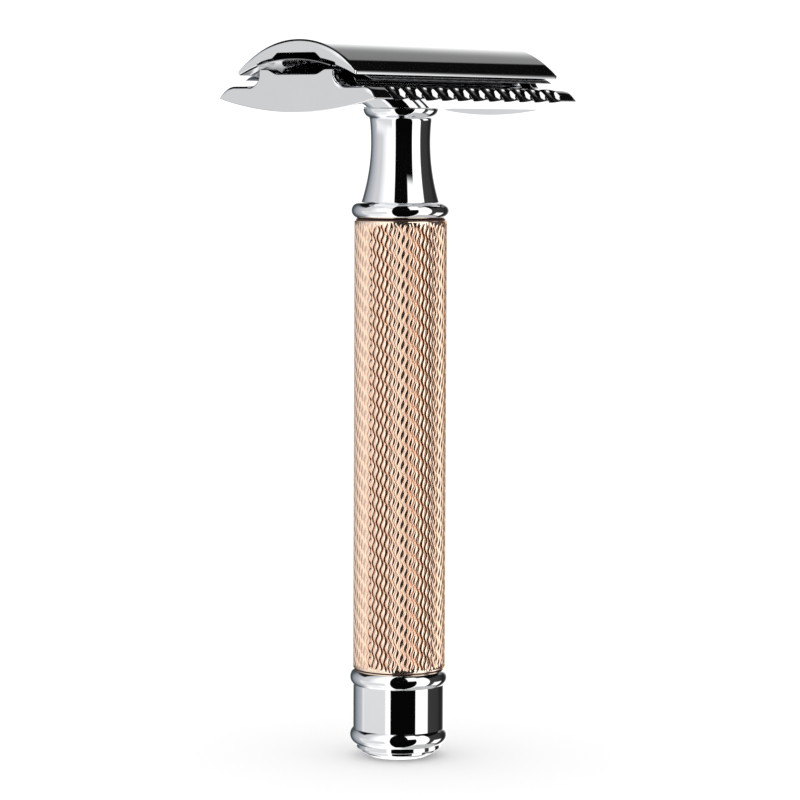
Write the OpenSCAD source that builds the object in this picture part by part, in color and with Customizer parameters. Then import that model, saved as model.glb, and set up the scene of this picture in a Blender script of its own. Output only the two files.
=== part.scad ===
// Three-piece double-edge safety razor with a closed comb.
// Millimetres. The origin is the middle of the foot, on the handle's axis. +Z runs up the handle,
// X runs along the cutting edges, and Y runs across the head.

/* [Overall] */
// Height from the foot to the crown of the cap
overall_h = 94; // [86:0.5:110]
// Length of the cap and of the base plate, along the cutting edges
head_len = 42; // [41.6:0.1:42.4]
// Height of the head above the neck's seat
head_h = 8.55; // [8.45:0.05:8.7]

/* [Blade] */
// Length over the end tabs
blade_len = 43; // [42.8:0.1:43.4]
// Width of the flat blade, from edge to edge
blade_w = 22; // [21.6:0.1:22.4]
// Thickness
blade_t = 0.1; // [0.08:0.01:0.12]
// Radius that the head bends the blade to, at its middle surface
bend_r = 22.9; // [22.6:0.1:23.4]
// Height of the bent blade's crown above the neck's seat, at its middle surface
blade_rise = 6; // [5.95:0.05:6.05]
// Width of the end tabs
tab_w = 12.8; // [12:0.2:13]
// Length of each cutting edge
edge_len = 37.2; // [36.4:0.2:37.4]

/* [Cap] */
// Width over the two lips
cap_w = 19.6; // [19:0.1:20.2]
// Radius of the crown
crown_r = 13.9; // [13.6:0.1:14.2]
// Width of the clamping lands' inner limit, where the underside steps clear of the blade
relief_w = 12.8; // [12:0.2:13.4]
// Width of the centre channel at its mouth
channel_w = 8.1; // [7.8:0.1:9]
// Depth of metal left above the centre channel
crown_t = 1.83; // [1.7:0.05:1.9]

/* [Base plate] */
// Width over the two comb bars
comb_w = 25.9; // [25.6:0.1:26.4]
// Height of the comb bars above the neck's seat
bar_rise = 2.65; // [2.5:0.05:2.75]
// Radius of the comb bars' rounded top
bar_r = 2.6; // [2.4:0.05:2.7]
// Height of the end blocks above the neck's seat
block_rise = 4.8; // [4.7:0.05:4.9]
// Width of the raised middle, between the two fillets
block_w = 12.4; // [12:0.1:12.8]
// Thickness of the end blocks
block_t = 1.8; // [1.5:0.1:2.2]
// Gap between an end block and the middle platform
notch_w = 2.2; // [1.8:0.1:2.6]
// Length of the slope at each end of the middle platform
slope_len = 1.6; // [1.2:0.1:2]
// Depth of the belly of the end ribs below the neck's seat
belly_drop = 0.7; // [0.6:0.05:0.8]

/* [Comb] */
// Number of scoops in each bar
scoops = 11; // [9:2:11]
// Distance from scoop to scoop
scoop_pitch = 3.235; // [3.2:0.005:3.3]
// Radius of the round rim of the cutting wheel that makes a scoop
scoop_r = 1.85; // [1.75:0.05:1.95]
// Radius of that wheel
scoop_wheel_r = 5; // [4.8:0.1:5.1]

/* [Stud and pins] */
// Outer diameter of the stud's thread
stud_d = 5; // [4.9:0.05:5]
// Pitch of the stud's thread
thread_pitch = 0.8; // [0.7:0.1:0.9]
// Number of thread turns on the stud
stud_turns = 15; // [13:1:15]
// Distance between the two locating pins
pin_spacing = 22; // [21:0.5:24]
// Diameter of the locating pins
pin_d = 3.9; // [3.6:0.1:4]

/* [Handle] */
// Outer radius of the sleeve
sleeve_r = 6.07; // [6:0.01:6.15]
// Inner radius of the sleeve
sleeve_bore_r = 5.2; // [5.1:0.05:5.3]
// Smallest radius of the neck
waist_r = 3.93; // [3.85:0.01:4.05]
// Largest radius of the collar ring under the neck
collar_r = 6.45; // [6.35:0.01:6.55]
// Radius of the plain band of the pommel
band_r = 6.03; // [5.95:0.01:6.1]
// Height of the pommel
pommel_h = 11.6; // [11.4:0.1:12]
// Radius of the flat foot
foot_r = 3.6; // [3.2:0.1:4]

/* [Hidden] */
$fn = 96;
eps = 0.01;
big = 60;
chrome = "gainsboro";
steel = "silver";
rose_gold = "lightsalmon";
rubber = "dimgray";

// Fits
clamp_gap = 0.04;   // between the blade and what it is clamped by
seat_gap = 0.02;    // between the neck and the base plate
pin_gap = 0.08;     // radial, a locating pin in the base plate
stud_gap = 0.06;    // radial, the stud's crests in the neck
stud_clear = 0.3;   // radial, the stud in the base plate
blade_clear = 0.3;  // radial, a locating pin in the blade
rod_clear = 0.2;    // radial, the core rod in the pommel

// Heights of the head
seat_z = overall_h - head_h;
bend_z = seat_z + blade_rise - bend_r;
blade_top_z = seat_z + blade_rise + blade_t / 2;
block_z = seat_z + block_rise;
bar_z = seat_z + bar_rise;
channel_z = overall_h - crown_t;

// Cap
land_r = bend_r + blade_t / 2 + clamp_gap;
relief_gap = 0.26;  // step from a clamping land up to the relief behind it
relief_r = land_r + relief_gap;
channel_slope = 1.1;
channel_mouth_z = channel_z - 0.75;
boss_r = 4;
boss_z = blade_top_z + 0.25;

// Base plate
tip_angle = 25;     // where the bar's rounded top ends, above the horizontal
tip_band = 0.12;    // height of the narrow flat along the bar's tip
bar_y = comb_w / 2 - bar_r * cos(tip_angle);
tip_z = bar_z - bar_r + bar_r * sin(tip_angle) - tip_band;
belly_z = seat_z - belly_drop;
belly_rise = tip_z - belly_z;
belly_r = ((comb_w / 2) ^ 2 + belly_rise ^ 2) / (2 * belly_rise);
fillet_r = 1.7;
trough_z = block_z - 0.62;
platform_len = head_len - 2 * (block_t + notch_w);
platform_r = bend_r - blade_t / 2 - clamp_gap;
slope_bottom_z = block_z - 1.05;
slope_top_z = blade_top_z;
scoop_y = comb_w / 2 + 1.84;    // axle of the cutting wheel
scoop_z = bar_z + 2.54;

// Stud and pins
stud_r = stud_d / 2;
thread_depth = 0.43;
root_r = stud_r - thread_depth;
stud_thread_z = blade_top_z;
stud_bottom_z = stud_thread_z - stud_turns * thread_pitch;
stud_top_z = overall_h - 1;
pin_r = pin_d / 2;
pin_bottom_z = seat_z + 0.9;
pin_hole_z = seat_z + 0.65;
pin_top_z = overall_h - 1.1;

// Neck
collar_bead = 1.1;
collar_z = seat_z - 14.4;
collar_mid_z = collar_z + collar_bead;
waist_z = seat_z - 4.35;
waist_curve_r = 25.8;
flange_bead = 1.4;
flange_r = 4.95;
stud_hole_depth = 8;
spigot_h = 5;
neck_blank_r = 5.6;

// Pommel
bead_r = 1.25;
upper_bead_z = pommel_h - 1.05;
lower_bead_z = 2.85;
lower_bead_h = 1.1;
seal_t = 0.2;
sleeve_z = pommel_h + seal_t;
sleeve_top_z = collar_z - seal_t;
step_r = 5.55;
step_z = 1.1;
nut_pocket_r = 4.7;
nut_pocket_top = 7.5;
nut_h = 4;
nut_across_corners = 9.1;
washer_t = 0.9;
rod_r = 2.5;
rod_bottom_z = nut_pocket_top - washer_t - nut_h - 0.3;
rod_top_z = collar_z + 3;
rod_thread_turns = 11;

// Extrudes an outline drawn across the head, (y, z), to a length centred on the handle's axis
module along_x(len) {
    rotate([90, 0, 90]) linear_extrude(len, center = true) children();
}

// A round bar lying along X at a height
module bar_along_x(z, r, len) {
    translate([0, 0, z]) rotate([0, 90, 0]) cylinder(r = r, h = len, center = true);
}

// Outline, (r, z), of a threaded length that hangs down from z: the crest, flank and root of each turn
function thread_outline(z, turns, crest, root, pitch) = [
    for (i = [0 : turns - 1], p = [[crest, 0], [crest, 0.12], [root, 0.45], [root, 0.67]])
        [p[0], z - pitch * (i + p[1])]
];

// ---------------------------------------------------------------- cap

// Everything above the blade's upper face, across the head
module cap_section() {
    difference() {
        intersection() {
            translate([0, overall_h - crown_r]) circle(crown_r);
            translate([-cap_w / 2, seat_z]) square([cap_w, head_h + 1]);
        }
        translate([0, bend_z]) circle(land_r);
        intersection() {
            translate([0, bend_z]) circle(relief_r);
            translate([-relief_w / 2, 0]) square([relief_w, overall_h]);
        }
        polygon([[-channel_w / 2, seat_z], [-channel_w / 2, channel_mouth_z],
                 [-channel_w / 2 + channel_slope, channel_z], [channel_w / 2 - channel_slope, channel_z],
                 [channel_w / 2, channel_mouth_z], [channel_w / 2, seat_z]]);
    }
}

module top_cap() {
    color(chrome) difference() {
        union() {
            along_x(head_len) cap_section();
            translate([0, 0, boss_z]) cylinder(r = boss_r, h = channel_z - boss_z + 0.25);
        }
        translate([0, 0, seat_z]) cylinder(r = stud_r, h = stud_top_z - seat_z);
        for (side = [-1, 1])
            translate([side * pin_spacing / 2, 0, seat_z]) cylinder(r = pin_r, h = pin_top_z - seat_z);
    }
}

module cap_stud() {
    tip_h = 0.5;
    thread = thread_outline(stud_thread_z, stud_turns, stud_r, root_r, thread_pitch);
    color(steel) rotate_extrude() polygon(concat(
        [[0, stud_top_z], [stud_r, stud_top_z]],
        thread,
        [[root_r, stud_bottom_z], [root_r - tip_h, stud_bottom_z - tip_h], [0, stud_bottom_z - tip_h]]));
}

module locating_pin(side) {
    tip_h = 0.5;
    color(steel) translate([side * pin_spacing / 2, 0, 0]) {
        translate([0, 0, pin_bottom_z + tip_h]) cylinder(r = pin_r, h = pin_top_z - pin_bottom_z - tip_h);
        translate([0, 0, pin_bottom_z]) cylinder(r1 = pin_r - tip_h, r2 = pin_r, h = tip_h);
    }
}

module left_locating_pin() locating_pin(-1);

module right_locating_pin() locating_pin(1);

// ---------------------------------------------------------------- blade

// The blade seen from above
module blade_outline() {
    half_w = bend_r * sin(blade_w / 2 / bend_r * 180 / PI);
    centre_hole_r = 3;
    slot_len = 33;
    slot_w = 1.7;
    cross_x = 14.8;
    cross_slot = [1.8, 4.6];
    difference() {
        union() {
            square([edge_len, 2 * half_w], center = true);
            square([blade_len, tab_w], center = true);
        }
        circle(r = centre_hole_r);
        square([slot_len, slot_w], center = true);
        for (side = [-1, 1]) {
            translate([side * pin_spacing / 2, 0]) circle(r = pin_r + blade_clear);
            translate([side * cross_x, 0]) square(cross_slot, center = true);
        }
    }
}

module blade() {
    color(steel) intersection() {
        difference() {
            bar_along_x(bend_z, bend_r + blade_t / 2, big);
            bar_along_x(bend_z, bend_r - blade_t / 2, big + 1);
        }
        translate([0, 0, seat_z]) linear_extrude(head_h) blade_outline();
    }
}

// ---------------------------------------------------------------- base plate

// The two comb bars and the web between them, across the head
module comb_section() {
    translate([-bar_y, belly_z]) square([2 * bar_y, bar_z - belly_z]);
    for (side = [-1, 1])
        translate([side * bar_y, bar_z - bar_r]) circle(bar_r);
}

// The raised middle up to a height, with its hollow fillets down to the comb bars
module middle_section(top_z) {
    difference() {
        translate([-block_w / 2 - fillet_r, belly_z]) square([block_w + 2 * fillet_r, top_z - belly_z]);
        for (side = [-1, 1]) {
            translate([side * (block_w / 2 + fillet_r), bar_z + fillet_r]) circle(fillet_r);
            translate([side * (block_w / 2 + fillet_r) - fillet_r, bar_z + fillet_r])
                square([2 * fillet_r, head_h]);
        }
    }
}

// Keeps an outline above the belly's arc and inside the comb's width
module inside_belly() {
    intersection() {
        translate([0, belly_z + belly_r]) circle(belly_r, $fn = 360);
        translate([-comb_w / 2, belly_z]) square([comb_w, head_h]);
        union() children();
    }
}

// An end block: the raised middle with its shallow trough
module block_section() {
    trough_w = 9.4;
    floor_w = 6.9;
    difference() {
        middle_section(block_z);
        polygon([[-trough_w / 2, block_z + eps], [-floor_w / 2, trough_z], [floor_w / 2, trough_z],
                 [trough_w / 2, block_z + eps]]);
    }
}

// The middle platform, which the bent blade lies on
module platform_section() {
    intersection() {
        middle_section(overall_h);
        translate([0, bend_z]) circle(platform_r);
    }
}

// Keeps the platform's ends under a slope, seen from the front, so that the blade's tabs clear them
module under_slopes() {
    half = platform_len / 2;
    intersection() {
        rotate([90, 0, 0]) linear_extrude(comb_w + 2, center = true)
            polygon([[-half, seat_z - 2], [-half, slope_bottom_z], [-half + slope_len, slope_top_z],
                     [half - slope_len, slope_top_z], [half, slope_bottom_z], [half, seat_z - 2]]);
        union() children();
    }
}

// The cutting wheels of one bar's scoops: each leaves a bowl that runs from the bar's crest to its tip
module scoop_cutters() {
    rim_y = scoop_wheel_r - scoop_r;
    for (i = [0 : scoops - 1])
        translate([(i - (scoops - 1) / 2) * scoop_pitch, scoop_y, scoop_z])
            rotate([0, 90, 0]) rotate_extrude() {
                translate([rim_y, 0]) circle(scoop_r);
                translate([0, -scoop_r]) square([rim_y, 2 * scoop_r]);
            }
}

module base_plate() {
    color(chrome) difference() {
        union() {
            along_x(head_len) inside_belly() comb_section();
            under_slopes() along_x(platform_len) inside_belly() platform_section();
            for (side = [-1, 1])
                translate([side * (head_len - block_t) / 2, 0, 0])
                    along_x(block_t) inside_belly() block_section();
        }
        translate([0, 0, seat_z - belly_drop - 1])
            cube([head_len - 2 * block_t, comb_w + 2, 2 * (belly_drop + 1)], center = true);
        translate([0, 0, belly_z - 1]) cylinder(r = stud_r + stud_clear, h = head_h);
        for (side = [-1, 1]) {
            translate([side * pin_spacing / 2, 0, pin_hole_z]) cylinder(r = pin_r + pin_gap, h = head_h);
            scale([1, side, 1]) scoop_cutters();
        }
    }
}

// ---------------------------------------------------------------- handle

module neck() {
    color(chrome) difference() {
        union() {
            rotate_extrude() difference() {
                translate([0, collar_mid_z]) square([neck_blank_r, seat_z - seat_gap - collar_mid_z]);
                translate([waist_r + waist_curve_r, waist_z]) circle(waist_curve_r, $fn = 360);
            }
            rotate_extrude() intersection() {
                translate([flange_r - flange_bead, seat_z]) circle(flange_bead);
                translate([0, seat_z - 2 * flange_bead]) square([2 * flange_r, 2 * flange_bead - seat_gap]);
            }
            rotate_extrude() {
                translate([collar_r - collar_bead, collar_mid_z]) circle(collar_bead);
                translate([0, collar_z]) square([collar_r - collar_bead, 2 * collar_bead]);
            }
            translate([0, 0, collar_z - spigot_h]) cylinder(r = sleeve_bore_r, h = spigot_h + eps);
        }
        translate([0, 0, seat_z - stud_hole_depth])
            cylinder(r = stud_r + stud_gap, h = stud_hole_depth + 1);
        translate([0, 0, collar_z - spigot_h - 1])
            cylinder(r = rod_r, h = rod_top_z - collar_z + spigot_h + 1);
    }
}

module sleeve() {
    color(rose_gold) translate([0, 0, sleeve_z]) difference() {
        cylinder(r = sleeve_r, h = sleeve_top_z - sleeve_z);
        translate([0, 0, -1]) cylinder(r = sleeve_bore_r, h = sleeve_top_z - sleeve_z + 2);
    }
}

module pommel() {
    color(chrome) difference() {
        union() {
            rotate_extrude() {
                translate([0, step_z]) square([step_r, lower_bead_z - step_z]);
                translate([0, lower_bead_z]) square([band_r, upper_bead_z - lower_bead_z]);
                intersection() {
                    for (z = [lower_bead_z, upper_bead_z])
                        translate([collar_r - bead_r, z]) circle(bead_r);
                    translate([0, lower_bead_z - lower_bead_h])
                        square([collar_r, pommel_h - lower_bead_z + lower_bead_h]);
                }
                translate([0, upper_bead_z]) square([collar_r - bead_r, pommel_h - upper_bead_z]);
            }
            translate([0, 0, pommel_h - eps]) cylinder(r = sleeve_bore_r, h = spigot_h + eps);
        }
        cylinder(r = nut_pocket_r, h = nut_pocket_top);
        cylinder(r = rod_r + rod_clear, h = pommel_h + spigot_h + 1);
    }
}

module core_rod() {
    thread_h = rod_thread_turns * thread_pitch;
    root = rod_r - thread_depth;
    upper = thread_outline(rod_top_z, rod_thread_turns, rod_r, root, thread_pitch);
    lower = thread_outline(rod_bottom_z + thread_h, rod_thread_turns, rod_r, root, thread_pitch);
    color(steel) rotate_extrude() polygon(concat(
        [[0, rod_top_z]],
        upper,
        [[rod_r, rod_top_z - thread_h]],
        lower,
        [[root, rod_bottom_z], [0, rod_bottom_z]]));
}

module lock_washer() {
    washer_r = 4.4;
    bore_r = rod_r + 0.1;
    color(steel) translate([0, 0, nut_pocket_top - washer_t]) difference() {
        cylinder(r = washer_r, h = washer_t);
        translate([0, 0, -1]) cylinder(r = bore_r, h = washer_t + 2);
    }
}

module clamp_nut() {
    color(steel) translate([0, 0, nut_pocket_top - washer_t - nut_h]) difference() {
        cylinder(d = nut_across_corners, h = nut_h, $fn = 6);
        translate([0, 0, -1]) cylinder(r = rod_r, h = nut_h + 2);
    }
}

// The turned disc that closes the nut's pocket and carries the flat foot
module foot_plug() {
    disc_r = 4.9;
    plug_h = 0.9;
    slope_h = 0.45;
    rim_z = 0.7;
    rim_w = 0.35;
    color(chrome) rotate_extrude() polygon([
        [0, 0], [foot_r, 0], [disc_r - rim_w, slope_h], [disc_r, rim_z], [disc_r, step_z],
        [nut_pocket_r, step_z], [nut_pocket_r, step_z + plug_h], [0, step_z + plug_h]]);
}

module flat_seal(z) {
    seal_r = sleeve_r - 0.22;
    color(rubber) translate([0, 0, z]) difference() {
        cylinder(r = seal_r, h = seal_t);
        translate([0, 0, -1]) cylinder(r = sleeve_bore_r, h = seal_t + 2);
    }
}

module upper_seal() flat_seal(sleeve_top_z);

module lower_seal() flat_seal(pommel_h);

top_cap();
cap_stud();
left_locating_pin();
right_locating_pin();
blade();
base_plate();
neck();
sleeve();
pommel();
core_rod();
lock_washer();
clamp_nut();
foot_plug();
upper_seal();
lower_seal();
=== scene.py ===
import math

import bmesh
import bpy
import numpy as np
from mathutils import Matrix, Vector
from mathutils.geometry import delaunay_2d_cdt


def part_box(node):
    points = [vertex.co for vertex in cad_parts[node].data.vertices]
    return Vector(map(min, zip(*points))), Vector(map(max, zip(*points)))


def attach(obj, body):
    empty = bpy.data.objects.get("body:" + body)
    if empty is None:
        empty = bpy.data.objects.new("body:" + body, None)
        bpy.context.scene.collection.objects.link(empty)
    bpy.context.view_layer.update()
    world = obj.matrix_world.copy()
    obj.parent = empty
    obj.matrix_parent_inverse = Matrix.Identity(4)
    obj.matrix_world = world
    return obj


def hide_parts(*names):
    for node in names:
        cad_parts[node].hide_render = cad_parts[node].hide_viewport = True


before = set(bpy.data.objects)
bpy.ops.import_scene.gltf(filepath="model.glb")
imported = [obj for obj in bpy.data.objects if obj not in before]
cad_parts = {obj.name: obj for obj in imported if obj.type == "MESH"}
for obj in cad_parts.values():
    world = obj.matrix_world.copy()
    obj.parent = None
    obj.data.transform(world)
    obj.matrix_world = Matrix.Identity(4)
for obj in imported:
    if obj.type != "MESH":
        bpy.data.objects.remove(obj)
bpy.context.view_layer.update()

# Lengths are in millimetres in the CAD frame, and turn into metres when a mesh is made. Outlines across
# the head are (y, z) points, and outlines of turned parts are (radius, z) points.
MM = 0.001


# ------------------------------------------------------------------ sizes

def corners(node):
    """The lowest and the highest corner of a CAD node, in millimetres."""
    low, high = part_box(node)
    return np.array(low) / MM, np.array(high) / MM


_, cap_high = corners("top_cap")
plate_low, plate_high = corners("base_plate")
_, blade_high = corners("blade")
stud_low, stud_high = corners("cap_stud")
pin_low, pin_high = corners("right_locating_pin")
neck_low, neck_high = corners("neck")
sleeve_low, sleeve_high = corners("sleeve")
_, pommel_high = corners("pommel")
_, plug_high = corners("foot_plug")
upper_seal_low, upper_seal_high = corners("upper_seal")
lower_seal_low, lower_seal_high = corners("lower_seal")

HEAD_LEN = 2 * cap_high[0]
CROWN_Z = cap_high[2]
CAP_HALF_W = cap_high[1]
SEAT_GAP = 0.02
SEAT_Z = neck_high[2] + SEAT_GAP
PIN_X = (pin_low[0] + pin_high[0]) / 2
PIN_R = (pin_high[0] - pin_low[0]) / 2
STUD_R = stud_high[0]

# Cap and blade
CROWN_R = 13.9
CROWN_T = 1.83
CHANNEL_Z = CROWN_Z - CROWN_T
BEND_R = 22.9
BLADE_T = 0.1
BLADE_Z = SEAT_Z + 6
BEND_Z = BLADE_Z - BEND_R
CLAMP_GAP = 0.04
RELIEF_GAP = 0.26
LAND_R = BEND_R + BLADE_T / 2 + CLAMP_GAP
RELIEF_R = LAND_R + RELIEF_GAP
PLATFORM_R = BEND_R - BLADE_T / 2 - CLAMP_GAP
BOSS_R = 4.0

# Base plate
COMB_HALF_W = plate_high[1]
BELLY_Z = plate_low[2]
BAR_Z = SEAT_Z + 2.65
BAR_R = 2.6
BAR_END_ANGLE = 25
BAR_Y = COMB_HALF_W - BAR_R * math.cos(math.radians(BAR_END_ANGLE))
TIP_BAND = 0.12
TIP_Z = BAR_Z - BAR_R + BAR_R * math.sin(math.radians(BAR_END_ANGLE)) - TIP_BAND
TIP_R = 0.13
BELLY_R = (COMB_HALF_W ** 2 + (TIP_Z - BELLY_Z) ** 2) / (2 * (TIP_Z - BELLY_Z))
BLOCK_Z = SEAT_Z + 4.8
TROUGH_Z = BLOCK_Z - 0.62
BLOCK_HALF_W = 6.2
HOLLOW_R = 1.7
BLOCK_T = 1.8
NOTCH_W = 2.2
PLATFORM_X = HEAD_LEN / 2 - BLOCK_T - NOTCH_W
RAMP_Z = BLOCK_Z - 1.05
RAMP_SLOPE = 1.44

# Comb
SCOOPS = 11
SCOOP_PITCH = 3.235
SCOOP_R = 1.85
SCOOP_WHEEL_R = 5.0
SCOOP_Y = COMB_HALF_W + 1.84
SCOOP_Z = BAR_Z + 2.54

# Handle
SLEEVE_R = sleeve_high[1]
SLEEVE_BORE_R = 5.2
SPIGOT_R = SLEEVE_BORE_R - 0.02
COLLAR_R = neck_high[1]
COLLAR_Z = SEAT_Z - 14.4
BAND_R = 6.03
ROD_R = 2.5
PLUG_POCKET_R = 4.7
PLUG_STEP_Z = 1.1


# ------------------------------------------------------------------ outlines

def arc(centre, radius, start, end, steps):
    """Points of an arc, both ends included; angles are in degrees."""
    angles = np.radians(np.linspace(start, end, steps + 1))
    return np.stack([centre[0] + radius * np.cos(angles), centre[1] + radius * np.sin(angles)], axis=1)


def sharp(points):
    """Points as corners that keep a radius of nothing."""
    return [(a, b, 0) for a, b in points]


def inset_corners(shape, insets):
    """A clockwise outline of (a, b, radius) corners with each corner moved in by its own distance. The
    radii of outer corners shrink and those of inner corners grow to suit."""
    places = np.array([corner[:2] for corner in shape], float)
    along = np.roll(places, -1, axis=0) - places
    along /= np.linalg.norm(along, axis=1, keepdims=True)
    outward = np.stack([-along[:, 1], along[:, 0]], axis=1)
    before = np.roll(outward, 1, axis=0)
    inward = -(before + outward) / (1 + np.sum(before * outward, axis=1, keepdims=True))
    moved = places + insets[:, None] * inward
    turn = before[:, 0] * outward[:, 1] - before[:, 1] * outward[:, 0]
    smallest = 0.01
    result = []
    for (a, b), inset, bend, (*_, radius) in zip(moved, insets, turn, shape):
        changed = max(radius - inset, smallest) if bend < 0 else radius + inset
        result.append((a, b, changed if radius else 0))
    return result


def rounded(shape, steps=5):
    """A closed outline from (a, b, radius) corners, each corner with a radius turned into an arc."""
    places = [np.array(corner[:2], float) for corner in shape]
    outline = []
    for i, (*_, radius) in enumerate(shape):
        here = places[i]
        if radius == 0:
            outline.append(here)
            continue
        back = places[i - 1] - here
        ahead = places[(i + 1) % len(places)] - here
        back /= np.linalg.norm(back)
        ahead /= np.linalg.norm(ahead)
        half_angle = math.acos(max(-1, min(1, back @ ahead))) / 2
        bisector = (back + ahead) / np.linalg.norm(back + ahead)
        centre = here + bisector * radius / math.sin(half_angle)
        first = here + back * radius / math.tan(half_angle) - centre
        last = here + ahead * radius / math.tan(half_angle) - centre
        turn = math.atan2(first[0] * last[1] - first[1] * last[0], first @ last)
        for angle in np.linspace(0, turn, steps + 1):
            cos, sin = math.cos(angle), math.sin(angle)
            outline.append(centre + (cos * first[0] - sin * first[1], sin * first[0] + cos * first[1]))
    return np.array(outline)


def mirrored(half):
    """A whole outline from its right half, which starts and ends away from the middle."""
    return list(half) + [(-corner[0], *corner[1:]) for corner in reversed(half)]


def normals_of(outline):
    """Unit vectors that point out of an open outline drawn clockwise, one per point."""
    along = np.gradient(outline, axis=0)
    along /= np.maximum(np.linalg.norm(along, axis=1, keepdims=True), 1e-9)
    return np.stack([-along[:, 1], along[:, 0]], axis=1)


# ------------------------------------------------------------------ meshes

SAME_PLACE = 1e-7   # metres


def skin(rings, closed_ends=True):
    """Vertices and faces over equal closed rings of 3-D points, with a face over each end."""
    count = len(rings[0])
    faces = []
    for i in range(len(rings) - 1):
        low, high = i * count, (i + 1) * count
        for k in range(count):
            following = (k + 1) % count
            faces.append((low + k, low + following, high + following, high + k))
    if closed_ends:
        faces.append(tuple(range(count - 1, -1, -1)))
        faces.append(tuple(range((len(rings) - 1) * count, len(rings) * count)))
    return np.concatenate(rings), faces


def mesh_object(name, vertices, faces, crease=32):
    """A smooth-shaded object, with edges sharper than crease degrees left sharp."""
    mesh = bpy.data.meshes.new(name)
    mesh.from_pydata((np.asarray(vertices) * MM).tolist(), [], faces)
    return finish_mesh(bpy.data.objects.new(name, mesh), crease)


def finish_mesh(piece, crease=32):
    """Merges doubled vertices, points the normals out and shades a piece. Faces square to X stay flat."""
    mesh = piece.data
    work = bmesh.new()
    work.from_mesh(mesh)
    bmesh.ops.remove_doubles(work, verts=work.verts, dist=SAME_PLACE)
    bmesh.ops.dissolve_degenerate(work, edges=work.edges, dist=SAME_PLACE)
    bmesh.ops.recalc_face_normals(work, faces=work.faces)
    work.to_mesh(mesh)
    work.free()
    mesh.shade_smooth()
    mesh.set_sharp_from_angle(angle=math.radians(crease))
    square_to_x = 0.9999
    for face in mesh.polygons:
        face.use_smooth = abs(face.normal.x) < square_to_x
    if piece.name not in bpy.context.scene.collection.objects:
        bpy.context.scene.collection.objects.link(piece)
    return piece


def weigh_normals(piece):
    """Lets large faces set the shading, so that flats stay flat beside small rounded edges."""
    modifier = piece.modifiers.new("weighted_normals", "WEIGHTED_NORMAL")
    modifier.keep_sharp = True
    modifier.weight = 50
    return piece


def combine(piece, other, operation):
    """Applies a boolean of another mesh object to a piece, and removes the other."""
    modifier = piece.modifiers.new(operation.lower(), "BOOLEAN")
    modifier.operation = operation
    modifier.object = other
    modifier.solver = "EXACT"
    bpy.context.view_layer.update()
    evaluated = piece.evaluated_get(bpy.context.evaluated_depsgraph_get())
    result = bpy.data.meshes.new_from_object(evaluated)
    piece.modifiers.remove(modifier)
    old = piece.data
    piece.data = result
    bpy.data.meshes.remove(old)
    bpy.data.objects.remove(other)
    return finish_mesh(piece)


def lathe(name, outline, steps=192, axis_x=0.0, crease=32):
    """Turns a closed outline of (radius, z) points round a vertical axis."""
    angles = np.linspace(0, 2 * math.pi, steps, endpoint=False)
    r, z = np.asarray(outline).T
    rings = [np.stack([axis_x + r * math.cos(a), r * math.sin(a), z], axis=1) for a in angles]
    vertices, faces = skin(rings + [rings[0]], closed_ends=False)
    return mesh_object(name, vertices, faces, crease)


def rounded_bar(name, shape, length, edge, shares, steps=6):
    """A shape across the head run along X. Its end edges are rounded: edge long, and each corner's share of
    that high."""
    rings = []
    for side in (-1, 1):
        for t in np.radians(np.linspace(0, 90, steps + 1))[::-side]:
            x = side * (length / 2 - edge + edge * math.cos(t))
            ring = rounded(inset_corners(shape, edge * (1 - math.sin(t)) * shares))
            rings.append(np.column_stack([np.full(len(ring), x), ring]))
    vertices, faces = skin(rings)
    return mesh_object(name, vertices, faces)


# ------------------------------------------------------------------ materials

def shader(name, colour, roughness, metallic=1.0):
    """A material whose colour and roughness wander gently between two values each, by a fine noise."""
    material = bpy.data.materials.new(name)
    material.use_nodes = True
    nodes, links = material.node_tree.nodes, material.node_tree.links
    surface = nodes["Principled BSDF"]
    surface.inputs["Metallic"].default_value = metallic
    place = nodes.new("ShaderNodeTexCoord")
    mapping = nodes.new("ShaderNodeMapping")
    noise = nodes.new("ShaderNodeTexNoise")
    links.new(place.outputs["Object"], mapping.inputs["Vector"])
    links.new(mapping.outputs["Vector"], noise.inputs["Vector"])
    tint = nodes.new("ShaderNodeValToRGB")
    tint.color_ramp.elements[0].color = (*colour[0], 1)
    tint.color_ramp.elements[1].color = (*colour[1], 1)
    gloss = nodes.new("ShaderNodeMapRange")
    gloss.inputs["To Min"].default_value = roughness[0]
    gloss.inputs["To Max"].default_value = roughness[1]
    links.new(noise.outputs["Fac"], tint.inputs["Fac"])
    links.new(noise.outputs["Fac"], gloss.inputs["Value"])
    links.new(tint.outputs["Color"], surface.inputs["Base Color"])
    links.new(gloss.outputs["Result"], surface.inputs["Roughness"])
    return material, {"nodes": nodes, "links": links, "surface": surface, "place": place,
                      "mapping": mapping, "noise": noise, "tint": tint}


def add_bump(parts, scale, strength, distance, stretch=(1, 1, 1), detail=2.0):
    """Fine relief by a noise of its own; distance is in millimetres."""
    nodes, links = parts["nodes"], parts["links"]
    mapping = nodes.new("ShaderNodeMapping")
    mapping.inputs["Scale"].default_value = stretch
    relief = nodes.new("ShaderNodeTexNoise")
    relief.inputs["Scale"].default_value = scale
    relief.inputs["Detail"].default_value = detail
    bump = nodes.new("ShaderNodeBump")
    bump.inputs["Strength"].default_value = strength
    bump.inputs["Distance"].default_value = distance * MM
    links.new(parts["place"].outputs["Object"], mapping.inputs["Vector"])
    links.new(mapping.outputs["Vector"], relief.inputs["Vector"])
    links.new(relief.outputs["Fac"], bump.inputs["Height"])
    links.new(bump.outputs["Normal"], parts["surface"].inputs["Normal"])


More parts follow.
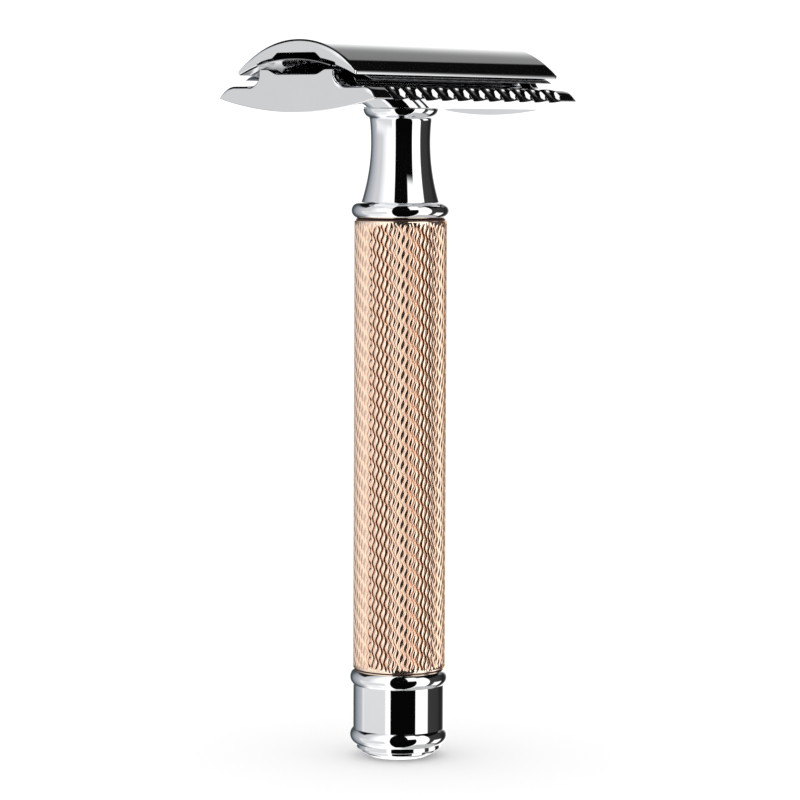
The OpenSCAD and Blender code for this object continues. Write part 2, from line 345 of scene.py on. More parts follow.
def chrome_material():
    """Polished chrome plate: nearly a mirror, with a faint orange peel and hazier patches."""
    material, parts = shader("polished_chrome", ((0.80, 0.81, 0.83), (0.86, 0.865, 0.87)), (0.015, 0.05))
    parts["noise"].inputs["Scale"].default_value = 160
    parts["noise"].inputs["Detail"].default_value = 5
    add_bump(parts, scale=420, strength=0.12, distance=0.002)
    return material


def rose_gold_material():
    """Rose-gold plate, paler on the lands and darker, redder down in the cut grooves, which is painted
    shade.
    """
    material, parts = shader("rose_gold_plate", ((0.98, 0.74, 0.58), (1.0, 0.84, 0.70)), (0.05, 0.11),
                             metallic=0.965)
    parts["noise"].inputs["Scale"].default_value = 350
    parts["noise"].inputs["Detail"].default_value = 4
    nodes, links = parts["nodes"], parts["links"]
    groove = nodes.new("ShaderNodeAttribute")
    groove.attribute_name = "groove"
    mix = nodes.new("ShaderNodeMix")
    mix.data_type = "RGBA"
    # Painted shade: this darker, redder colour is mixed in down the grooves by their depth share.
    mix.inputs["B"].default_value = (0.95, 0.50, 0.29, 1)
    parts["surface"].inputs["Specular Tint"].default_value = (1.0, 0.62, 0.38, 1)
    links.new(groove.outputs["Fac"], mix.inputs["Factor"])
    links.new(parts["tint"].outputs["Color"], mix.inputs["A"])
    links.new(mix.outputs["Result"], parts["surface"].inputs["Base Color"])
    add_bump(parts, scale=2500, strength=0.15, distance=0.002)
    return material


def steel_material(name, colour, roughness, stretch):
    """Machined or ground steel, with fine lines drawn out along the short side of the stretch."""
    material, parts = shader(name, colour, roughness)
    parts["mapping"].inputs["Scale"].default_value = stretch
    parts["noise"].inputs["Scale"].default_value = 900
    parts["noise"].inputs["Detail"].default_value = 6
    add_bump(parts, scale=1400, strength=0.25, distance=0.004, stretch=stretch, detail=4)
    return material


def rubber_material():
    """Dark nitrile with a matt, slightly mottled skin."""
    material, parts = shader("seal_rubber", ((0.035, 0.012, 0.009), (0.07, 0.028, 0.02)), (0.5, 0.75),
                             metallic=0)
    parts["noise"].inputs["Scale"].default_value = 1500
    add_bump(parts, scale=2600, strength=0.3, distance=0.01)
    return material


chrome = chrome_material()
rose_gold = rose_gold_material()
# The blade's steel gets a dark colour so that it reads dark down inside the head: painted shade.
blade_steel = steel_material(
    "ground_blade_steel", ((0.24, 0.245, 0.26), (0.36, 0.365, 0.38)), (0.06, 0.14), stretch=(0.03, 1, 1))
stud_steel = steel_material(
    "turned_steel", ((0.58, 0.58, 0.60), (0.70, 0.70, 0.71)), (0.18, 0.34), stretch=(0.05, 0.05, 1))
fastener_steel = steel_material(
    "plated_fastener_steel", ((0.56, 0.56, 0.54), (0.70, 0.70, 0.68)), (0.25, 0.45), stretch=(1, 1, 0.2))
rubber = rubber_material()


def place_piece(piece, node, body, material):
    """Puts a finished piece in a CAD node's stead, on its body and with its material."""
    piece.data.materials.clear()
    piece.data.materials.append(material)
    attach(piece, body)
    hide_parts(node)


# ------------------------------------------------------------------ cap

def on_bend(y, radius):
    """Height of an arc round the blade's bend axis."""
    return BEND_Z + np.sqrt(radius ** 2 - np.asarray(y) ** 2)


def on_crown(y):
    """Height of the crown's arc."""
    return CROWN_Z - CROWN_R + np.sqrt(CROWN_R ** 2 - y ** 2)


def cap_outline():
    """The cap across the head: crown, lips, clamping lands, relief and centre channel."""
    half_top_flat = 0.8         # degrees
    lip_turn = 1.6              # degrees of the crown that the lip's rounding takes up
    lip_t, lip_r, lip_inner_r = 0.11, 0.22, 0.12
    relief_y, mouth_y, ceiling_y = 6.4, 4.05, 3.15
    step_r, mouth_r, ceiling_r = 0.05, 0.3, 0.7
    mouth_drop = 0.75
    crown_end = 90 - math.degrees(math.asin(CAP_HALF_W / CROWN_R)) + lip_turn
    lip_y = CAP_HALF_W - lip_t
    land_ys = np.linspace(CAP_HALF_W - 0.4, relief_y + 0.15, 10)
    relief_ys = np.linspace(relief_y - 0.15, mouth_y + 0.45, 7)
    half = [
        *sharp(arc((0, CROWN_Z - CROWN_R), CROWN_R, 90 - half_top_flat, crown_end, 40)),
        (CAP_HALF_W, on_crown(CAP_HALF_W), lip_r),
        (lip_y, on_bend(lip_y, LAND_R), lip_inner_r),
        *sharp(zip(land_ys, on_bend(land_ys, LAND_R))),
        (relief_y, on_bend(relief_y, LAND_R), step_r),
        (relief_y, on_bend(relief_y, RELIEF_R), step_r),
        *sharp(zip(relief_ys, on_bend(relief_ys, RELIEF_R))),
        (mouth_y, CHANNEL_Z - mouth_drop, mouth_r),
        (ceiling_y, CHANNEL_Z, ceiling_r),
    ]
    return mirrored(half)


def make_cap():
    """The cap's shell with its boss. Its ends are rounded well over the crown and hardly at all below."""
    edge, under_share, fade_w = 0.55, 0.27, 2.5
    outline = cap_outline()
    y, z = np.array([corner[:2] for corner in outline]).T
    is_crown = z > on_crown(y) - 0.001
    shares = np.where(is_crown, np.clip((CAP_HALF_W - np.abs(y)) / fade_w, under_share, 1), under_share)
    cap = rounded_bar("top_cap_shell", outline, HEAD_LEN, edge, shares)
    boss_low = BLADE_Z + BLADE_T / 2 + 0.25
    boss_high = CHANNEL_Z + 0.6
    boss = lathe("boss", rounded([
        (0, boss_low, 0), (0, boss_high, 0), (BOSS_R, boss_high, 0), (BOSS_R, boss_low, 0.15)]), steps=96)
    cap = combine(cap, boss, "UNION")
    weigh_normals(cap)
    place_piece(cap, "top_cap", "cap", chrome)


make_cap()


# ------------------------------------------------------------------ stud and pins

def threaded_bar(name, radius, low, high, thread_low, thread_high):
    """A round bar chamfered at its low end, with a true helical thread between two heights."""
    depth, pitch, chamfer = 0.43, 0.8, 0.5
    steps, per_turn = 64, 8
    # Over one pitch: a crest, a flank down, a root and a flank up
    profile = np.interp(np.arange(per_turn) / per_turn, [0, 0.12, 0.45, 0.67, 1], [0, 0, 1, 1, 0])
    rows = round((high - low) / pitch * per_turn)
    angles = np.linspace(0, 2 * math.pi, steps + 1)
    rings = []
    for k in range(-per_turn, rows + 1):
        z = low + k * pitch / per_turn + pitch * angles / (2 * math.pi)
        fade = np.clip((z - thread_low) / pitch, 0, 1) * np.clip((thread_high - z) / pitch, 0, 1)
        z = np.clip(z, low, high)
        cut = np.maximum(depth * profile[k % per_turn] * fade, np.clip(chamfer - (z - low), 0, chamfer))
        r = radius - cut
        rings.append(np.stack([r * np.cos(angles), r * np.sin(angles), z], axis=1))
    count = steps + 1
    faces = []
    for k in range(len(rings) - 1):
        here, above = k * count, (k + 1) * count
        faces += [(here + j, here + j + 1, above + j + 1, above + j) for j in range(steps)]
    piece = mesh_object(name, np.concatenate(rings), faces, crease=40)
    work = bmesh.new()
    work.from_mesh(piece.data)
    bmesh.ops.holes_fill(work, edges=[edge for edge in work.edges if edge.is_boundary])
    work.to_mesh(piece.data)
    work.free()
    return finish_mesh(piece, crease=40)


def make_stud():
    stud = threaded_bar("cap_stud_thread", STUD_R, stud_low[2], stud_high[2], stud_low[2], BLADE_Z)
    place_piece(stud, "cap_stud", "cap", stud_steel)


def make_pins():
    lead = 0.5
    low, high = pin_low[2], pin_high[2]
    outline = rounded([
        (0, low, 0), (0, high, 0), (PIN_R, high, 0), (PIN_R, low + lead, 0.25), (PIN_R - lead, low, 0.12)])
    for node, side in (("left_locating_pin", -1), ("right_locating_pin", 1)):
        pin = weigh_normals(lathe(node + "_turned", outline, steps=64, axis_x=side * PIN_X))
        place_piece(pin, node, "cap", stud_steel)


make_stud()
make_pins()


# ------------------------------------------------------------------ blade

BLADE_HALF_W = 11.0
GRIND_W = 0.4
EDGE_X = 18.6       # end of the cutting edges
SLOT_HALF_W = 0.85


def four_mirrored(quarter):
    """A closed loop from the quarter of it where both coordinates are positive."""
    half = quarter + [(x, -y) for x, y in reversed(quarter)]
    loop = np.array(half + [(-x, -y) for x, y in half])
    keep = np.linalg.norm(loop - np.roll(loop, 1, axis=0), axis=1) > 1e-6
    return loop[keep]


def blade_outline():
    """The flat blade's outline, with its narrower end tabs, as (x, width) points."""
    tab_x, tab_half_w = blade_high[0], 6.4
    tab_r, inner_r, edge_r = 0.5, 0.3, 0.05
    quarter = [(EDGE_X, BLADE_HALF_W, edge_r), (EDGE_X, tab_half_w, inner_r), (tab_x, tab_half_w, tab_r)]
    right = quarter + [(x, -y, r) for x, y, r in reversed(quarter)]
    return rounded(right + [(-x, -y, r) for x, y, r in right])


def blade_cut_out():
    """The slot along the blade, with round holes for the stud and the pins, and a cross near each end."""
    centre_r, pin_r = 3.0, PIN_R + 0.3
    cross_x, cross_half_w, cross_h, slot_x = 14.8, 0.9, 2.3, 16.5
    centre_tip = math.degrees(math.asin(SLOT_HALF_W / centre_r))
    pin_tip = math.degrees(math.asin(SLOT_HALF_W / pin_r))
    return four_mirrored([
        *arc((0, 0), centre_r, 90, centre_tip, 10),
        *arc((PIN_X, 0), pin_r, 180 - pin_tip, pin_tip, 16),
        (cross_x - cross_half_w, SLOT_HALF_W), (cross_x - cross_half_w, cross_h),
        (cross_x + cross_half_w, cross_h), (cross_x + cross_half_w, SLOT_HALF_W), (slot_x, SLOT_HALF_W),
    ])


def divided(loop, step=0.8):
    """A loop with points added so that none of its edges is longer than a step."""
    result = []
    for here, there in zip(loop, np.roll(loop, -1, axis=0)):
        parts = max(1, math.ceil(np.linalg.norm(there - here) / step))
        result += [here + (there - here) * i / parts for i in range(parts)]
    return np.array(result)


def blade_grid():
    """Points inside the blade's outline, so that its sheet bends smoothly."""
    ground_from = BLADE_HALF_W - GRIND_W
    middle_w = (*np.arange(-10, 10.1, 1.0), -ground_from, ground_from)
    middle_x = np.arange(-18, 18.1, 2.0)
    tab_w = np.arange(-6, 6.1, 0.8)
    tab_x = (-20.8, -20.0, -19.2, 19.2, 20.0, 20.8)
    return [(x, w) for w in middle_w for x in middle_x] + [(x, w) for w in tab_w for x in tab_x]


def make_blade():
    """A thin bent sheet with ground edges, cut to the blade's outline. The cut-out isn't open: its loop only
    divides the sheet."""
    points, edges = [], []
    for loop in (divided(blade_outline()), divided(blade_cut_out())):
        first = len(points)
        points += [Vector(p) for p in loop]
        edges += [(first + i, first + (i + 1) % len(loop)) for i in range(len(loop))]
    points += [Vector(p) for p in blade_grid()]
    # This output type keeps the faces inside the cut-out
    output_type, same_place = 5, 1e-5
    flat, _, triangles, *_ = delaunay_2d_cdt(points, edges, [], output_type, same_place)
    flat = np.array([tuple(p) for p in flat])
    edge_share = 0.08       # of the thickness, left at a cutting edge
    ground = np.clip((BLADE_HALF_W - np.abs(flat[:, 1])) / GRIND_W, edge_share, 1)
    on_edge_length = np.abs(flat[:, 0]) < EDGE_X + 0.01
    half_t = np.where(on_edge_length, ground, 1) * BLADE_T / 2
    angle = flat[:, 1] / BEND_R
    sheets = []
    for side in (1, -1):
        radius = BEND_R + side * half_t
        height = BEND_Z + radius * np.cos(angle)
        sheets.append(np.column_stack([flat[:, 0], radius * np.sin(angle), height]))
    count = len(flat)
    faces = [tuple(t) for t in triangles] + [tuple(count + i for i in reversed(t)) for t in triangles]
    sides = {(t[i], t[(i + 1) % 3]) for t in triangles for i in range(3)}
    faces += [(b, a, count + a, count + b) for a, b in sorted(sides) if (b, a) not in sides]
    blade = mesh_object("blade_sheet", np.concatenate(sheets), faces, crease=30)
    place_piece(blade, "blade", "blade", blade_steel)


make_blade()


# ------------------------------------------------------------------ base plate

def belly(y):
    """Height of the base plate's convex underside."""
    return BELLY_Z + BELLY_R - np.sqrt(BELLY_R ** 2 - y ** 2)


def plate_half(top):
    """Half of the base plate's outline, from the middle of its top round to the middle of its belly.

    top(y) is the height of the raised middle. Returns the points, how much of an inner and of an outer
    rounded edge each one takes part in, and the numbers of points above and below the comb bar."""
    corner_r = 0.35
    corner_y = BLOCK_HALF_W - corner_r
    corner_z = float(top(corner_y)) - corner_r
    hollow = (BLOCK_HALF_W + HOLLOW_R, BAR_Z + HOLLOW_R)
    # The points of the top stand closest round the two bends of the trough
    top_y = np.concatenate([[0.4, 1.6, 2.6], np.linspace(2.95, 3.95, 6), np.linspace(4.4, 5.0, 5),
                            [5.3, corner_y - 0.2]])
    side_z = np.linspace(corner_z, hollow[1], 5)[1:-1]
    raised = np.concatenate([
        np.column_stack([top_y, top(top_y)]),
        arc((corner_y, corner_z), corner_r, 90, 0, 5),
        np.column_stack([np.full(len(side_z), BLOCK_HALF_W), side_z]),
        arc(hollow, HOLLOW_R, 180, 268, 14),
    ])
    flat_y = np.linspace(hollow[0] + 0.3, BAR_Y - 0.2, 5)
    tip_y = COMB_HALF_W - TIP_R
    tip_lift = 1.036            # of the tip's radius, because the belly slopes here
    tip = arc((tip_y, belly(tip_y) + TIP_R * tip_lift), TIP_R, 20, -74, 6)
    bar = np.concatenate([
        np.column_stack([flat_y, np.full(len(flat_y), BAR_Z)]),
        arc((BAR_Y, BAR_Z - BAR_R), BAR_R, 90, BAR_END_ANGLE + 1.5, 26),
        tip,
    ])
    # And those of the belly where the flat middle starts
    under_y = np.concatenate([np.linspace(COMB_HALF_W - 0.35, 8.9, 9), np.linspace(8.6, 8.2, 5),
                              np.linspace(7.5, 0.5, 8)])
    under = np.column_stack([under_y, belly(under_y)])
    top_share, tip_share = 0.28, 0.2
    hollow_fade, tip_fade = 15, 12      # numbers of points
    inner = np.concatenate([
        np.ones(len(raised) - hollow_fade), np.linspace(1, 0, hollow_fade),
        np.zeros(len(bar) + len(under))])
    outer = np.concatenate([
        np.full(len(raised) - hollow_fade, top_share), np.linspace(top_share, 1, hollow_fade),
        np.ones(len(bar) - len(tip) - tip_fade), np.linspace(1, tip_share, tip_fade),
        np.full(len(tip) + len(under), tip_share)])
    return np.concatenate([raised, bar, under]), (inner, outer), len(raised), len(under)


def block_top(y):
    """Height of an end block's top, with its shallow trough between two horns."""
    trough_half_w, horn_y, trough_r, horn_r = 3.45, 4.7, 2.0, 1.2
    trough = rounded([(0, TROUGH_Z, 0), (trough_half_w, TROUGH_Z, trough_r), (horn_y, BLOCK_Z, horn_r),
                      (BLOCK_HALF_W + 1, BLOCK_Z, 0)])
    return np.interp(y, trough[:, 0], trough[:, 1])


def platform_top(y):
    """Height of the middle platform, which the blade lies on."""
    return on_bend(y, PLATFORM_R)


def under_the_wheel(y, reach):
    """Whether the belly at y is within the reach of a comb-cutting wheel."""
    return math.hypot(y - SCOOP_Y, belly(y) - SCOOP_Z) < reach


def carve_scoops(points, raised, x):
    """Cuts the comb's scoops out of one half outline at a station along X, as a round-rimmed wheel does."""
    number = np.clip(round(x / SCOOP_PITCH), -(SCOOPS // 2), SCOOPS // 2)
    aside = abs(x - number * SCOOP_PITCH)
    if aside >= SCOOP_R:
        return
    reach = SCOOP_WHEEL_R - SCOOP_R + math.sqrt(SCOOP_R ** 2 - aside ** 2)
    soft = 0.05
    from_axle = points[raised:] - (SCOOP_Y, SCOOP_Z)
    distance = np.linalg.norm(from_axle, axis=1)
    pushed = (distance + reach + np.sqrt((distance - reach) ** 2 + soft ** 2)) / 2
    cut = (SCOOP_Y, SCOOP_Z) + from_axle * (pushed / distance)[:, None]
    inside, outside, halvings = BAR_Y - 1, COMB_HALF_W, 30
    if under_the_wheel(outside, reach):
        # Close in on where the wheel comes out of the belly
        for _ in range(halvings):
            middle = (inside + outside) / 2
            if under_the_wheel(middle, reach):
                outside = middle
            else:
                inside = middle
    cut[:, 0] = np.minimum(cut[:, 0], outside)
    cut[:, 1] = np.maximum(cut[:, 1], belly(cut[:, 0]))
    points[raised:] = cut


def rounded_edge(x, edge, side):
    """(x, inset) pairs round an edge that ends at x and faces along side, from its face inwards."""
    turn = np.radians(np.linspace(0, 90, 6))
    return [(x + side * edge * (math.cos(t) - 1), edge * (1 - math.sin(t))) for t in turn]


def plate_stations():
    """(x, kind, inset, whole edge) along half of the base plate, from its end to its middle."""
    end_x, block_x = HEAD_LEN / 2, HEAD_LEN / 2 - BLOCK_T
    end_edge, inner_edge, steps_per_scoop = 0.55, 0.12, 28
    step = SCOOP_PITCH / steps_per_scoop
    between = [k * step for k in range(int(block_x / step), 0, -1)]
    stations = [(x, "block", inset, True) for x, inset in rounded_edge(end_x, end_edge, 1)]
    stations += [(x, "block", inset, False) for x, inset in rounded_edge(block_x, inner_edge, -1)[::-1]]
    in_notch = [x for x in between if x > PLATFORM_X]
    stations += [(x, "notch", 0, False) for x in (block_x, *in_notch, PLATFORM_X)]
    stations += [(x, "platform", inset, False) for x, inset in rounded_edge(PLATFORM_X, inner_edge, 1)]
    stations += [(x, "platform", 0, False) for x in (*between, 0) if x < PLATFORM_X - inner_edge]
    return stations


def make_base_plate():
    shapes = {"block": plate_half(block_top), "platform": plate_half(platform_top)}
    notch = shapes["block"][0].copy()
    raised = shapes["block"][2]
    notch[:raised, 1] = np.minimum(notch[:raised, 1], BAR_Z)
    shapes["notch"] = (notch, *shapes["block"][1:])
    right = plate_stations()
    stations = right + [(-x, *rest) for x, *rest in reversed(right[:-1])]
    rings = []
    for x, kind, inset, whole in stations:
        points, (inner, outer), raised, under = shapes[kind]
        half = points - normals_of(points) * inset * (outer if whole else inner)[:, None]
        if kind == "platform":
            ramp_z = RAMP_Z + (PLATFORM_X - abs(x)) * RAMP_SLOPE
            half[:raised, 1] = np.minimum(half[:raised, 1], ramp_z)
        if kind != "block":
            carve_scoops(half, raised, x)
            half[-under:, 1] = np.maximum(half[-under:, 1], SEAT_Z)
        ring = np.concatenate([half, half[::-1] * (-1, 1)])
        rings.append(np.column_stack([np.full(len(ring), x), ring]))
    vertices, faces = skin(rings)
    plate = mesh_object("base_plate_comb", vertices, faces, crease=35)
    stud_clear, pin_clear, pin_floor = 0.3, 0.08, SEAT_Z + 0.65
    holes = [(0, STUD_R + stud_clear, BELLY_Z - 1)]
    holes += [(side * PIN_X, PIN_R + pin_clear, pin_floor) for side in (1, -1)]
    for x, radius, low in holes:
        hole = [(0, low), (0, CROWN_Z), (radius, CROWN_Z), (radius, low)]
        plate = combine(plate, lathe("cutter", hole, steps=64, axis_x=x), "DIFFERENCE")
    weigh_normals(plate)
    place_piece(plate, "base_plate", "base_plate", chrome)


make_base_plate()


# ------------------------------------------------------------------ handle

def waist(z):
    """Radius of the neck's hollow curve."""
    waist_r, curve_r, waist_z = 3.93, 25.8, SEAT_Z - 4.35
    return waist_r + curve_r - np.sqrt(curve_r ** 2 - (z - waist_z) ** 2)


def make_neck():
    bead_r, flange_r, flange_bead_r = 1.1, 4.95, 1.4
    bead_z, top = COLLAR_Z + bead_r, neck_high[2]
    spigot_z, rod_z, bore_z = neck_low[2], COLLAR_Z + 3, SEAT_Z - 8
    bore_r = STUD_R + 0.06
    waist_z = np.linspace(bead_z + 1.13, SEAT_Z - 1.42, 48)
    outline = rounded([
        (ROD_R, spigot_z, 0), (SPIGOT_R, spigot_z, 0.2), (SPIGOT_R, COLLAR_Z, 0),
        *sharp(arc((COLLAR_R - bead_r, bead_z), bead_r, -90, 88, 30)),
        *sharp(zip(waist(waist_z), waist_z)),
        *sharp(arc((flange_r - flange_bead_r, SEAT_Z), flange_bead_r, -62, -8, 14)),
        (flange_r, top, 0.1), (bore_r, top, 0.1), (bore_r, bore_z, 0), (0, bore_z, 0), (0, rod_z, 0),
        (ROD_R, rod_z, 0),
    ])
    neck = weigh_normals(lathe("neck_turned", outline))
    place_piece(neck, "neck", "handle", chrome)


def make_pommel():
    bead_r, step_r, pocket_z = 1.25, 5.55, 7.5
    lower_reach, upper_reach = 1.1, 1.05        # of the two rings, away from the band
    lower_z, top_z, spigot_z = 2.85, lower_seal_low[2], pommel_high[2]
    upper_z = top_z - upper_reach
    rod_bore_r = ROD_R + 0.2
    bead_axis_r = COLLAR_R - bead_r
    band_angle = math.degrees(math.acos((BAND_R - bead_axis_r) / bead_r))
    low_angle = -math.degrees(math.asin(lower_reach / bead_r))
    high_angle = math.degrees(math.asin(upper_reach / bead_r))
    outline = rounded([
        (PLUG_POCKET_R, PLUG_STEP_Z, 0), (step_r, PLUG_STEP_Z, 0.12), (step_r, lower_z - lower_reach, 0.03),
        *sharp(arc((bead_axis_r, lower_z), bead_r, low_angle, band_angle, 26)),
        *sharp(arc((bead_axis_r, upper_z), bead_r, -band_angle, high_angle, 26)),
        (SPIGOT_R, top_z, 0), (SPIGOT_R, spigot_z, 0.2), (rod_bore_r, spigot_z, 0.1),
        (rod_bore_r, pocket_z, 0), (PLUG_POCKET_R, pocket_z, 0),
    ])
    pommel = weigh_normals(lathe("pommel_turned", outline))
    place_piece(pommel, "pommel", "handle", chrome)


def make_foot_plug():
    disc_r, foot_r, body_r = plug_high[1], 3.6, PLUG_POCKET_R - 0.02
    outline = rounded([
        (0, 0, 0), (foot_r, 0, 0.4), (disc_r - 0.35, 0.45, 0.3), (disc_r, 0.7, 0.15),
        (disc_r, PLUG_STEP_Z, 0.06), (body_r, PLUG_STEP_Z, 0), (body_r, plug_high[2], 0.1),
        (0, plug_high[2], 0),
    ])
    plug = weigh_normals(lathe("foot_plug_turned", outline))
    place_piece(plug, "foot_plug", "handle", chrome)


def make_seals():
    edge_r = 0.06
    for node, low, high in (("upper_seal", upper_seal_low, upper_seal_high),
                            ("lower_seal", lower_seal_low, lower_seal_high)):
        outline = rounded([
            (SLEEVE_BORE_R, low[2], 0), (high[0], low[2], edge_r), (high[0], high[2], edge_r),
            (SLEEVE_BORE_R, high[2], 0)], steps=3)
        place_piece(lathe(node + "_ring", outline), node, "handle", rubber)


GROOVES = 64
GROOVE_W = 0.35
GROOVE_DEPTH = 0.175
GROOVE_PITCH = 2 * math.pi * SLEEVE_R / GROOVES
WAVE_LEN = 1.95
WAVE_H = 0.17
PLAIN_BAND = 0.3    # left uncut at each end of the sleeve
RUN_IN = 0.25       # over which the cutter reaches its depth
SLEEVE_EDGE = 0.08


def groove_columns(path, following):
    """Places round the sleeve of the six points from one groove's bottom to the next: two beside each
    bottom, and two beside each edge of the land, or of the ridge where grooves meet."""
    soft = 0.016
    half_w = GROOVE_W / 2
    middle = (path + following) / 2
    return np.stack([
        path - soft, path + soft,
        np.minimum(path + half_w - soft, middle - soft), np.minimum(path + half_w + soft, middle),
        np.maximum(following - half_w - soft, middle), np.maximum(following - half_w + soft, middle + soft),
    ], axis=2)


def ring_at(radius, angle, height):
    """Points round the handle's axis at one height."""
    return np.column_stack([radius * np.cos(angle), radius * np.sin(angle), np.full(len(angle), height)])


def make_sleeve():
    """The tube with its engine-turned grooves: V cuts of one width on wavy paths, each a quarter of a
    wave behind its neighbour, so that the lands between them swell and pinch."""
    low, high = sleeve_low[2], sleeve_high[2]
    cut_low, cut_high = low + PLAIN_BAND, high - PLAIN_BAND
    rows = np.concatenate([[low, low + SLEEVE_EDGE, cut_low],
                           np.arange(cut_low + RUN_IN, cut_high - RUN_IN, WAVE_LEN / 8),
                           [cut_high, high - SLEEVE_EDGE, high]])
    index = np.arange(GROOVES)[None, :]
    z = rows[:, None]
    path = index * GROOVE_PITCH + WAVE_H * np.sin(2 * math.pi * (z / WAVE_LEN + index / 4))
    following = np.roll(path, -1, axis=1)
    following[:, -1] += GROOVES * GROOVE_PITCH
    place = groove_columns(path, following)
    distance = np.minimum(np.abs(place - path[:, :, None]), np.abs(place - following[:, :, None]))
    share = np.clip(1 - distance / (GROOVE_W / 2), 0, None)
    share = share * np.clip(np.minimum(z - cut_low, cut_high - z) / RUN_IN, 0, 1)[:, :, None]
    edge = np.where((rows == low) | (rows == high), 0.07, 0)
    radius = SLEEVE_R - GROOVE_DEPTH * share - edge[:, None, None]
    radius = radius.reshape(len(rows), -1)
    angle = (place / SLEEVE_R).reshape(len(rows), -1)
    rings = [ring_at(r, a, height) for r, a, height in zip(radius, angle, rows)]
    rings += [ring_at(SLEEVE_BORE_R, angle[0], height) for height in (high, low)]
    vertices, faces = skin(rings + [rings[0]], closed_ends=False)
    # The groove share is also the mask of the painted shade in the grooves' colour.
    groove = np.concatenate([share.ravel(), np.zeros(len(vertices) - share.size)])
    mesh = bpy.data.meshes.new("sleeve_engine_turned")
    mesh.from_pydata((vertices * MM).tolist(), [], faces)
    attribute = mesh.attributes.new("groove", "FLOAT", "POINT")
    attribute.data.foreach_set("value", groove.astype(np.float32))
    sleeve = weigh_normals(finish_mesh(bpy.data.objects.new("sleeve_engine_turned", mesh), crease=60))
    place_piece(sleeve, "sleeve", "handle", rose_gold)


make_neck()
make_pommel()
make_foot_plug()
make_seals()
make_sleeve()

for node in ("core_rod", "lock_washer", "clamp_nut"):
    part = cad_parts[node]
    part.data.materials.clear()
    part.data.materials.append(fastener_steel)


# ------------------------------------------------------------------ studio

# The camera: its angle round the handle's axis from -Y, its distance from that axis, its height, how far
# it looks down and leans over, and its lens
VIEW_AZIMUTH = math.radians(-50.77)
VIEW_DISTANCE = 430.4
VIEW_HEIGHT = 82.1
VIEW_PITCH = math.radians(4.63)
VIEW_ROLL = math.radians(0.235)
VIEW_LENS = 147.7

# What the chrome mirrors, round the horizon: degrees to the right of the camera, and brightness. A white
# softbox stands on each side, the camera's own corner is dark, and the backdrop behind is white.
HORIZON = [
    (-180, (1.3, 1.3, 1.3)), (-173, (1.3, 1.3, 1.3)), (-168, (0.05, 0.06, 0.07)),
    (-148, (0.09, 0.11, 0.12)), (-134, (0.30, 0.33, 0.36)), (-120, (0.46, 0.48, 0.52)),
    (-104, (0.62, 0.63, 0.67)), (-92, (0.73, 0.73, 0.75)), (-78, (0.74, 0.74, 0.74)),
    (-68, (0.95, 0.95, 0.98)), (-56, (1.2, 1.2, 1.22)), (0, (1.4, 1.4, 1.4)), (77, (1.5, 1.5, 1.5)),
    (79, (0.05, 0.05, 0.05)), (116, (0.04, 0.04, 0.04)), (126, (0.02, 0.02, 0.02)),
    (142, (0.03, 0.03, 0.03)), (150, (0.4, 0.4, 0.4)), (156, (1.3, 1.3, 1.3)), (180, (1.3, 1.3, 1.3)),
]

# Panels in front of that, the later ones nearer: name, azimuths, elevations, how wide their soft edges are
# across and up, all in degrees, and brightness.
PANELS = [
    ("floor", (-190, 190), (-100, -46), (10, 16), 1.25),
    ("floor_right", (48, 165), (-100, -40), (10, 10), 0.6),
    ("left_box_foot", (-104, -56), (-60, -4), (14, 4), 1.05),
    ("low_left_dusk", (-100, -34), (-34, -8), (4, 4), 0.84),
    ("ceiling_right", (43, 190), (47, 100), (8, 10), 0.08),
    ("back_left_flag", (-190, -98), (28, 100), (10, 10), 0.006),
    ("rear_dusk", (128, 190), (23.5, 100), (6, 17), 0.28),
    ("rear_shade", (128, 190), (44, 100), (6, 34), 0.03),
    ("rear_flag", (79, 156), (29, 100), (2, 4), 0.004),
    ("zenith", (-190, 190), (76, 100), (10, 8), 0.02),
    ("camera_corner", (-21, 43), (-80, 100), (1.5, 4), 0.002),
    ("lamp", (23, 56), (21, 60), (4, 8), 1.5),
    ("low_card", (94, 122), (-36, -13), (5, 5), 1.3),
]


class NodeMath:
    """Adds Math nodes to a node tree, with sockets or plain numbers as values."""

    def __init__(self, tree):
        self.nodes = tree.nodes
        self.links = tree.links

    def __call__(self, operation, *values):
        node = self.nodes.new("ShaderNodeMath")
        node.operation = operation
        for socket, value in zip(node.inputs, values):
            if isinstance(value, (int, float)):
                socket.default_value = value
            else:
                self.links.new(value, socket)
        return node.outputs["Value"]


def paint_panel(tree, below, azimuth, elevation, azimuths, elevations, soft, brightness):
    """Lays a soft-edged rectangle of sky over the colour below it."""
    math_node = NodeMath(tree)
    outside = []
    for angle, (low, high), edge in ((azimuth, azimuths, soft[0]), (elevation, elevations, soft[1])):
        from_middle = math_node("ABSOLUTE", math_node("SUBTRACT", angle, (low + high) / 2))
        outside.append(math_node("DIVIDE", math_node("SUBTRACT", from_middle, (high - low) / 2), edge))
    mask = tree.nodes.new("ShaderNodeMapRange")
    mask.interpolation_type = "SMOOTHSTEP"
    mask.inputs["From Min"].default_value = 0.5
    mask.inputs["From Max"].default_value = -0.5
    tree.links.new(math_node("MAXIMUM", *outside), mask.inputs["Value"])
    over = tree.nodes.new("ShaderNodeMix")
    over.data_type = "RGBA"
    over.inputs["B"].default_value = (brightness, brightness, brightness, 1)
    tree.links.new(mask.outputs["Result"], over.inputs["Factor"])
    tree.links.new(below, over.inputs["A"])
    return over.outputs["Result"]


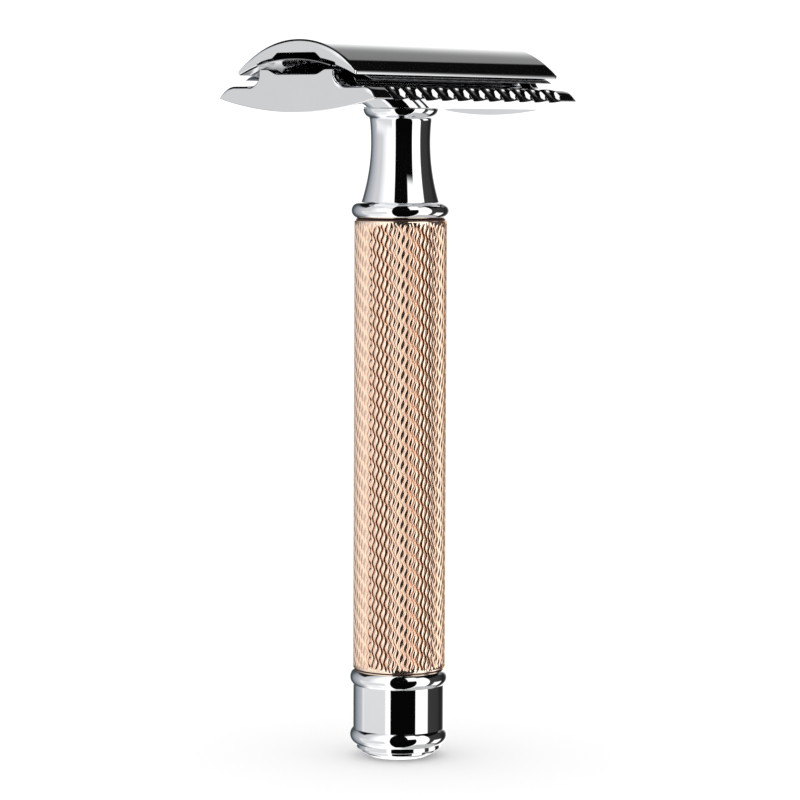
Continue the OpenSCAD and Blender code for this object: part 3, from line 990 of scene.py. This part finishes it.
def make_world():
    """Plain soft white light all round, and a studio of softboxes and flags for the chrome to mirror."""
    world = bpy.data.worlds.new("studio")
    bpy.context.scene.world = world
    world.use_nodes = True
    tree = world.node_tree
    nodes, links = tree.nodes, tree.links
    nodes.clear()
    math_node = NodeMath(tree)
    direction = nodes.new("ShaderNodeTexCoord")
    turn = nodes.new("ShaderNodeMapping")
    turn.inputs["Rotation"].default_value = (0, 0, -VIEW_AZIMUTH)
    split = nodes.new("ShaderNodeSeparateXYZ")
    links.new(direction.outputs["Generated"], turn.inputs["Vector"])
    links.new(turn.outputs["Vector"], split.inputs["Vector"])
    toward = math_node("MULTIPLY", split.outputs["Y"], -1)
    azimuth = math_node("DEGREES", math_node("ARCTAN2", split.outputs["X"], toward))
    elevation = math_node("DEGREES", math_node("ARCSINE", split.outputs["Z"]))
    horizon = nodes.new("ShaderNodeValToRGB")
    stops = horizon.color_ramp.elements
    while len(stops) < len(HORIZON):
        stops.new(1.0)
    for stop, (angle, colour) in zip(stops, HORIZON):
        stop.position = (angle + 180) / 360
        stop.color = (*colour, 1)
    links.new(math_node("DIVIDE", math_node("ADD", azimuth, 180.0), 360.0), horizon.inputs["Fac"])
    light = horizon.outputs["Color"]
    for _, azimuths, elevations, soft, brightness in PANELS:
        light = paint_panel(tree, light, azimuth, elevation, azimuths, elevations, soft, brightness)
    mirrored_studio = nodes.new("ShaderNodeBackground")
    links.new(light, mirrored_studio.inputs["Color"])
    white = nodes.new("ShaderNodeBackground")
    white.inputs["Color"].default_value = (1, 1, 1, 1)
    white.inputs["Strength"].default_value = 1.15
    rays = nodes.new("ShaderNodeLightPath")
    mix = nodes.new("ShaderNodeMixShader")
    output = nodes.new("ShaderNodeOutputWorld")
    links.new(rays.outputs["Is Glossy Ray"], mix.inputs["Fac"])
    links.new(white.outputs["Background"], mix.inputs[1])
    links.new(mirrored_studio.outputs["Background"], mix.inputs[2])
    links.new(mix.outputs["Shader"], output.inputs["Surface"])


def make_floor():
    half = 6.0
    corner_places = [(-half, -half, 0), (half, -half, 0), (half, half, 0), (-half, half, 0)]
    mesh = bpy.data.meshes.new("floor")
    mesh.from_pydata(corner_places, [], [(0, 1, 2, 3)])
    floor = bpy.data.objects.new("floor", mesh)
    bpy.context.scene.collection.objects.link(floor)
    material = bpy.data.materials.new("pale_floor")
    material.use_nodes = True
    surface = material.node_tree.nodes["Principled BSDF"]
    surface.inputs["Base Color"].default_value = (0.93, 0.93, 0.93, 1)
    surface.inputs["Roughness"].default_value = 0.9
    surface.inputs["Specular IOR Level"].default_value = 0.0
    floor.data.materials.append(material)
    floor.visible_glossy = False


def make_camera():
    data = bpy.data.cameras.new("camera")
    data.lens = VIEW_LENS
    data.sensor_width = 36
    data.clip_start = 0.01
    data.clip_end = 50
    camera = bpy.data.objects.new("camera", data)
    bpy.context.scene.collection.objects.link(camera)
    place = Vector((math.sin(VIEW_AZIMUTH), -math.cos(VIEW_AZIMUTH), 0)) * VIEW_DISTANCE
    place.z = VIEW_HEIGHT
    turn = Matrix.Rotation(VIEW_AZIMUTH, 4, "Z") @ Matrix.Rotation(math.pi / 2 - VIEW_PITCH, 4, "X")
    camera.matrix_world = Matrix.Translation(place * MM) @ turn @ Matrix.Rotation(VIEW_ROLL, 4, "Z")
    bpy.context.scene.camera = camera


make_world()
make_floor()
make_camera()
bpy.context.scene.view_settings.view_transform = "Standard"
